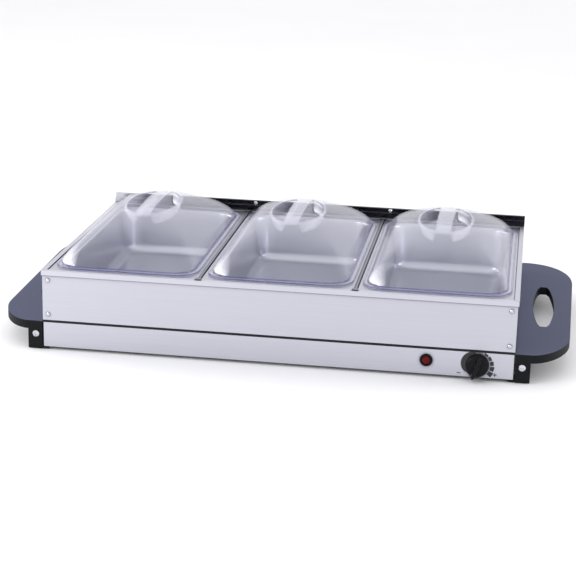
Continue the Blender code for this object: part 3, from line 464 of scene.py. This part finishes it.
PAN_SHEET = 0.8 * MM
PAN_LIP = 3.0 * MM
PAN_FLOOR_RADIUS = 12.0 * MM
MOUTH_CORNER = 27.0 * MM
FLOOR_CORNER = 19.0 * MM
FLANGE_CORNER = 1.5 * MM
FLANGE_WIDTH = (9.0 * MM, 9.5 * MM)
WALL_TAPER = 6.2 * MM
RING_POINTS = 208
FULL_CIRCLE = [2 * math.pi * step / RING_POINTS for step in range(RING_POINTS)]


def pan_profile(depth):
    """(inset, depth, corner) from the flange's inner edge down to the middle of the floor."""
    steps = 8
    profile = []
    for step in range(steps + 1):
        turn = math.radians(84) * step / steps
        profile.append((PAN_LIP * math.sin(turn), PAN_LIP * (1 - math.cos(turn)), MOUTH_CORNER))
    wall_start, wall_end = profile[-1], (PAN_LIP + WALL_TAPER, depth - PAN_FLOOR_RADIUS)
    for step in range(1, 6):
        part = step / 6
        inset = wall_start[0] + (wall_end[0] - wall_start[0]) * part
        down = wall_start[1] + (wall_end[1] - wall_start[1]) * part
        profile.append((inset, down, MOUTH_CORNER + (FLOOR_CORNER - MOUTH_CORNER) * part))
    for step in range(steps + 1):
        turn = math.radians(90) * step / steps
        inset = wall_end[0] + PAN_FLOOR_RADIUS * (1 - math.cos(turn))
        down = wall_end[1] + PAN_FLOOR_RADIUS * math.sin(turn)
        profile.append((inset, down, FLOOR_CORNER - 8 * MM * step / steps))
    return profile


def pan_shape():
    """Sheet surface of a pan around its own centre, seen from inside."""
    low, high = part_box("pan_centre")
    half_x, half_y = (high.x - low.x) / 2, (high.y - low.y) / 2
    mouth_x, mouth_y = half_x - FLANGE_WIDTH[0], half_y - FLANGE_WIDTH[1]
    shape = bmesh.new()
    edge = 0.3 * MM
    rings = []
    for inset, corner in ((0, FLANGE_CORNER), (edge, FLANGE_CORNER - edge)):
        outline = rounded_outline(half_x - inset, half_y - inset, corner, FULL_CIRCLE)
        rings.append(at_height(outline, high.z))
    brink = rounded_outline(mouth_x + edge, mouth_y + edge, MOUTH_CORNER + edge, FULL_CIRCLE)
    rings.append(at_height(brink, high.z))
    for inset, down, corner in pan_profile(high.z - low.z - PAN_SHEET):
        outline = rounded_outline(mouth_x - inset, mouth_y - inset, corner, FULL_CIRCLE)
        rings.append(at_height(outline, high.z - down))
    floor = rings[-1]
    middle = Vector((0, 0, floor[0].z))
    rings.append([point.lerp(middle, 0.5) for point in floor])
    rows = [[shape.verts.new(point) for point in ring] for ring in rings]
    for first, second in zip(rows, rows[1:]):
        bridge(shape, first, second)
    shape.faces.new(rows[-1])
    return shape


def make_pans():
    for side in SIDES:
        node = "pan_" + side
        centre = middle_of(node)
        shape = pan_shape()
        made = piece("pressed_" + node, shape, [PAN_SATIN], node + "_body", [node],
                     (centre.x, centre.y, 0))
        shape.free()
        sheet = made.modifiers.new("sheet", "SOLIDIFY")
        sheet.thickness = PAN_SHEET
        sheet.offset = -1.0
        sheet.use_even_offset = True


# ---- Lids ----

LID_SHEET = 1.9 * MM
LID_FOOT_INSET = (5.5 * MM, 6.0 * MM)
LID_RIM_CORNER = 30.0 * MM
LID_FOOT_CORNER = 26.0 * MM
GRIP_OVAL = (31.5 * MM, 62.0 * MM)
GRIP_BAR_HALF = 9.5 * MM
GRIP_DEPTH = 17.0 * MM
GRIP_LIP = 1.0 * MM
GRIP_SCALE = 0.39
DOME_SWEEP = 2.45
DOME_SHOULDER = 0.72
ARC_STEPS = 84
BAR_STEPS = 20
LIP_ROWS = 3
POCKET_EDGE_ROWS = 5
BAR_ANGLE = math.acos(GRIP_BAR_HALF / GRIP_OVAL[0])


def lid_angles():
    """Angles round the lid that hit the four corners of the grip bar exactly."""
    arc = [BAR_ANGLE * (2 * step / ARC_STEPS - 1) for step in range(ARC_STEPS)]
    end = [BAR_ANGLE + (math.pi - 2 * BAR_ANGLE) * step / BAR_STEPS for step in range(BAR_STEPS)]
    half = arc + end
    return half + [angle + math.pi for angle in half]


def dome_ring(scale, foot, foot_z, top_z):
    """Ring of the dome; scale 1 is its foot and GRIP_SCALE the oval round the grip pockets."""
    rise = (1 - scale ** DOME_SWEEP) ** DOME_SHOULDER
    share = ((1 - scale) / (1 - GRIP_SCALE)) ** 2
    half_x = foot[0] * scale + (GRIP_OVAL[0] - foot[0] * GRIP_SCALE) * share
    half_y = foot[1] * scale + (GRIP_OVAL[1] - foot[1] * GRIP_SCALE) * share
    roundness = min((1 - scale ** 1.5) / (1 - GRIP_SCALE ** 1.5), 1.0)
    angles = lid_angles()
    box_like = rounded_outline(half_x, half_y, LID_FOOT_CORNER * scale, angles)
    ring = []
    for (x, y), angle in zip(box_like, angles):
        oval = Vector((half_x * math.cos(angle), half_y * math.sin(angle)))
        ring.append(Vector((x, y)).lerp(oval, roundness))
    return at_height(ring, foot_z + (top_z - foot_z) * rise)


def crown_height(x, y, oval_z, top_z):
    """Height of the bar's top, which carries the dome on over the oval."""
    fall = (x / GRIP_OVAL[0]) ** 2 + (y / GRIP_OVAL[1]) ** 2
    return oval_z + (top_z - oval_z) * max(1 - fall, 0.0)


def moon(sign, inset):
    """Half-moon outline as (arc, chord), both from one tip to the other."""
    half_x, half_y = GRIP_OVAL[0] - inset, GRIP_OVAL[1] - inset
    straight = GRIP_BAR_HALF + inset
    reach = math.acos(straight / half_x)
    angles = [reach * (2 * step / ARC_STEPS - 1) for step in range(ARC_STEPS + 1)]
    arc = [(sign * half_x * math.cos(angle), sign * half_y * math.sin(angle)) for angle in angles]
    chord = [(sign * straight, y) for _, y in arc]
    return arc, chord


def add_pocket(shape, sign, arc_verts, chord_verts, floor_z):
    """Lofts a grip pocket down from its lip; returns the faces of its lip and walls.
    Each stage is how far in from the lip and how far below it a ring of the pocket lies."""
    lip_z = [vert.co.z for vert in arc_verts], [vert.co.z for vert in chord_verts]
    lowest = min(lip_z[0])
    stages = [(0.12 * MM, 0.08 * MM), (0.4 * MM, 0.35 * MM), (0.75 * MM, GRIP_LIP), (1.5 * MM, 6 * MM),
              (2.2 * MM, 11 * MM)]
    floor_drop = lowest - floor_z
    stages += [(2.6 * MM, floor_drop - 2.0 * MM), (3.0 * MM, floor_drop - 0.8 * MM),
               (3.8 * MM, floor_drop - 0.2 * MM), (5.0 * MM, floor_drop)]
    walls = []
    rows = [arc_verts, chord_verts]
    for inset, drop in stages:
        settle = min(drop / floor_drop, 1.0)
        new_rows = []
        for outline, heights in zip(moon(sign, inset), lip_z):
            row = []
            for step, ((x, y), lip) in enumerate(zip(outline, heights)):
                if new_rows and step in (0, ARC_STEPS):
                    row.append(new_rows[0][step])
                else:
                    height = (lip + (lowest - lip) * settle) - drop
                    row.append(shape.verts.new((x, y, height)))
            new_rows.append(row)
        for old, new in zip(rows, new_rows):
            walls += bridge(shape, old, new, closed=False)
        rows = new_rows
    bridge(shape, rows[0], rows[1], closed=False)
    return walls


def lid_shape():
    """Outer surface of a lid around its own centre: rim, dome, grip bar and two pockets."""
    low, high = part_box("lid_centre")
    half_x, half_y = (high.x - low.x) / 2, (high.y - low.y) / 2
    foot = (half_x - LID_FOOT_INSET[0], half_y - LID_FOOT_INSET[1])
    rim_z = low.z + LID_SHEET + 0.2 * MM
    angles = lid_angles()
    shape = bmesh.new()
    rings = []
    rim_profile = ((0.0, low.z + 0.5 * MM), (0.0, rim_z - 0.5 * MM), (0.2 * MM, rim_z - 0.12 * MM),
                   (0.6 * MM, rim_z), (2.4 * MM, rim_z), (4.6 * MM, rim_z + 0.05 * MM),
                   (5.5 * MM, rim_z + 0.5 * MM))
    for inset, height in rim_profile:
        outline = rounded_outline(half_x - inset, half_y - inset, LID_RIM_CORNER - inset / 2, angles)
        rings.append(at_height(outline, height))
    dome_rows = 30
    top_rise = (1 - GRIP_SCALE ** DOME_SWEEP) ** DOME_SHOULDER
    for row in range(dome_rows + 1):
        rise = top_rise * (1 - (1 - row / dome_rows) ** 1.7)
        scale = (1 - rise ** (1 / DOME_SHOULDER)) ** (1 / DOME_SWEEP)
        rings.append(dome_ring(scale, foot, rim_z + 1.2 * MM, high.z))
    rows = [[shape.verts.new(point) for point in ring] for ring in rings]
    edge_faces, lip_faces = [], []
    for level, (first, second) in enumerate(zip(rows, rows[1:])):
        faces = bridge(shape, first, second)
        if level < 3 or level in (5, 6):
            edge_faces += faces
        elif level >= len(rows) - 1 - LIP_ROWS:
            lip_faces += faces
    oval = rows[-1]
    oval_z = oval[0].co.z
    turn = ARC_STEPS + BAR_STEPS
    arcs = [[oval[(start + step) % len(oval)] for step in range(ARC_STEPS + 1)] for start in (0, turn)]
    chords = []
    for sign, arc in zip((1, -1), arcs):
        chord = [arc[0]]
        for x, y in moon(sign, 0.0)[1][1:-1]:
            chord.append(shape.verts.new((x, y, crown_height(x, y, oval_z, high.z))))
        chords.append(chord + [arc[-1]])
        walls = add_pocket(shape, sign, arc, chords[-1], high.z - GRIP_DEPTH)
        edge_faces += walls[:ARC_STEPS * POCKET_EDGE_ROWS]
    lip_faces += add_bar_top(shape, chords, oval, oval_z, high.z)
    for index, faces in enumerate((edge_faces, lip_faces), 1):
        for face in faces:
            face.material_index = index
    bmesh.ops.recalc_face_normals(shape, faces=shape.faces)
    if max(shape.faces, key=lambda face: face.calc_center_median().z).normal.z < 0:
        bmesh.ops.reverse_faces(shape, faces=shape.faces)
    return shape


def add_bar_top(shape, chords, oval, oval_z, top_z):
    """Top of the grip bar, in rows across it, with its two round ends; returns its faces."""
    right, left = chords[0], list(reversed(chords[1]))
    grid, made = [], []
    for start, end in zip(right, left):
        row = [start]
        for step in range(1, BAR_STEPS):
            point = start.co.lerp(end.co, step / BAR_STEPS)
            height = crown_height(point.x, point.y, oval_z, top_z)
            row.append(shape.verts.new((point.x, point.y, height)))
        grid.append(row + [end])
    for first, second in zip(grid, grid[1:]):
        made += bridge(shape, first, second, closed=False)
    far_end = [oval[ARC_STEPS + step] for step in range(BAR_STEPS + 1)]
    near_start = 2 * ARC_STEPS + BAR_STEPS
    near_end = [oval[(near_start + BAR_STEPS - step) % len(oval)] for step in range(BAR_STEPS + 1)]
    made += bridge(shape, grid[-1], far_end, closed=False)
    made += bridge(shape, near_end, grid[0], closed=False)
    return made


def make_lids():
    for side in SIDES:
        node = "lid_" + side
        centre = middle_of(node)
        shape = lid_shape()
        made = piece("moulded_" + node, shape, [CLEAR, CLEAR_EDGE, CLEAR_LIP],
                     node + "_body", [node], (centre.x, centre.y, 0))
        shape.free()
        sheet = made.modifiers.new("wall", "SOLIDIFY")
        sheet.thickness = LID_SHEET
        sheet.offset = -1.0
        sheet.material_offset_rim = 1


# ---- Printed marks on the base ----

INK_GAP = 0.05 * MM
INK_DEPTH = 0.12 * MM
DIAL_INNER = 14.5 * MM
CRESCENT = 4.4 * MM
CRESCENT_SPAN = (-128, -6)
DIAL_MARKS = 5
FIRST_MARK = 30
MARK_PITCH = 21
MARK_SPAN = 17
MARK_INSET = 0.9 * MM
MARK_WIDTH = 3.2 * MM
MARK_GROWTH = 0.8 * MM
SIGN_ARM = 2.1 * MM
SIGN_HALF = 0.42 * MM
SIGN_DROP = 10.5 * MM
LOW_SIGN_OFFSET = -20.5 * MM
HIGH_SIGN_OFFSET = 21 * MM


def printed(name, outline):
    """A thin printed shape on the front of the base, from an outline of (x, z) points."""
    shape = bmesh.new()
    rows = []
    for reach in (INK_GAP, INK_DEPTH):
        rows.append([shape.verts.new((x, FRONT_Y - reach, z)) for x, z in outline])
    last = len(outline) - 1
    for row in rows:
        for step in range(last // 2):
            shape.faces.new([row[step], row[step + 1], row[last - step - 1], row[last - step]])
    bridge(shape, rows[1], rows[0])
    bmesh.ops.recalc_face_normals(shape, faces=shape.faces)
    made = piece(name, shape, [INK], "base")
    shape.free()
    for polygon in made.data.polygons:
        polygon.use_smooth = False


def dial_arc(start, stop, inner, outer, steps=14):
    """Outline between two arcs round the knob; angles are clockwise from the top, in degrees.
    inner and outer are functions of the share of the way from start to stop."""
    centre_x, centre_z = KNOB_CENTRE
    outline = []
    for radius, order in ((outer, range(steps + 1)), (inner, range(steps, -1, -1))):
        for step in order:
            share = step / steps
            angle = math.radians(start + (stop - start) * share)
            reach = radius(share)
            outline.append((centre_x + reach * math.sin(angle), centre_z + reach * math.cos(angle)))
    return outline


def crescent_edge(share):
    """Outer radius of the crescent at a share of the way along it."""
    return DIAL_INNER + CRESCENT * math.sin(math.pi * share) ** 0.6


def bar(x, z, half_width, low, high):
    """Outline of an upright rectangle round x, from z + low to z + high."""
    return [(x - half_width, z + low), (x + half_width, z + low),
            (x + half_width, z + high), (x - half_width, z + high)]


def make_dial_print():
    """A crescent that thins towards the low side and five marks that grow towards the high side."""
    printed("dial_crescent", dial_arc(*CRESCENT_SPAN, lambda share: DIAL_INNER, crescent_edge, 28))
    for index in range(DIAL_MARKS):
        start = FIRST_MARK + index * MARK_PITCH
        reach = DIAL_INNER + MARK_WIDTH + index * MARK_GROWTH
        outline = dial_arc(start, start + MARK_SPAN, lambda share: DIAL_INNER + MARK_INSET,
                           lambda share: reach, 8)
        printed(f"dial_mark_{index + 1}", outline)
    z = KNOB_CENTRE[1] - SIGN_DROP
    low_x, high_x = KNOB_CENTRE[0] + LOW_SIGN_OFFSET, KNOB_CENTRE[0] + HIGH_SIGN_OFFSET
    printed("low_sign", bar(low_x, z, SIGN_ARM, -SIGN_HALF, SIGN_HALF))
    printed("high_sign_bar", bar(high_x, z, SIGN_ARM, -SIGN_HALF, SIGN_HALF))
    printed("high_sign_lower", bar(high_x, z, SIGN_HALF, -SIGN_ARM, -SIGN_HALF))
    printed("high_sign_upper", bar(high_x, z, SIGN_HALF, SIGN_HALF, SIGN_ARM))


# ---- Stage ----

FLOOR_HALF = 8.0
SKY_COLOUR = (0.98, 0.98, 1.0, 1.0)
SKY_STRENGTH = 1.08


def make_floor():
    shape = bmesh.new()
    bmesh.ops.create_grid(shape, x_segments=2, y_segments=2, size=FLOOR_HALF)
    mesh = bpy.data.meshes.new("floor")
    shape.to_mesh(mesh)
    shape.free()
    mesh.materials.append(table_top())
    floor = bpy.data.objects.new("floor", mesh)
    bpy.context.scene.collection.objects.link(floor)


def make_world():
    world = bpy.data.worlds.new("studio")
    world.use_nodes = True
    backdrop = world.node_tree.nodes["Background"]
    backdrop.inputs["Color"].default_value = SKY_COLOUR
    backdrop.inputs["Strength"].default_value = SKY_STRENGTH
    bpy.context.scene.world = world


def softbox(name, place, target, width, height, power):
    light = bpy.data.lights.new(name, "AREA")
    light.shape = "RECTANGLE"
    light.size = width
    light.size_y = height
    light.energy = power
    lamp = bpy.data.objects.new(name, light)
    lamp.location = place
    lamp.rotation_euler = (Vector(target) - Vector(place)).to_track_quat("-Z", "Y").to_euler()
    bpy.context.scene.collection.objects.link(lamp)


def make_lights():
    softbox("left_box", (-1.9, 0.5, 0.95), (-0.15, 0, 0.1), 0.9, 0.9, 15)
    softbox("front_left_box", (-1.3, -1.1, 0.8), (-0.35, -0.2, 0.05), 0.6, 0.6, 9)
    softbox("right_fill", (1.5, 0.2, 0.55), (0.32, 0, 0), 0.7, 0.5, 7)


CAMERA_PLACE = (0.2762, -2.0002, 0.6396)
CAMERA_YAW = 0.1439
CAMERA_PITCH = 0.2896
CAMERA_ROLL = 0.0248
CAMERA_LENS = 103.1


def make_camera():
    """Camera at the reference view: it stands right of the middle and looks slightly left and down."""
    data = bpy.data.cameras.new("main_view")
    data.lens = CAMERA_LENS
    data.sensor_width = 36.0
    camera = bpy.data.objects.new("main_view", data)
    camera.location = CAMERA_PLACE
    turn = Matrix.Rotation(CAMERA_YAW, 3, "Z")
    tilt = Matrix.Rotation(math.pi / 2 - CAMERA_PITCH, 3, "X")
    roll = Matrix.Rotation(CAMERA_ROLL, 3, "Z")
    camera.rotation_euler = (turn @ tilt @ roll).to_euler()
    bpy.context.scene.collection.objects.link(camera)
    bpy.context.scene.camera = camera


finish_cad_nodes()
make_pans()
make_lids()
make_dial_print()
make_floor()
make_world()
make_lights()
make_camera()
bpy.context.scene.view_settings.view_transform = "Standard"
bpy.context.scene.cycles.transparent_max_bounces = 32
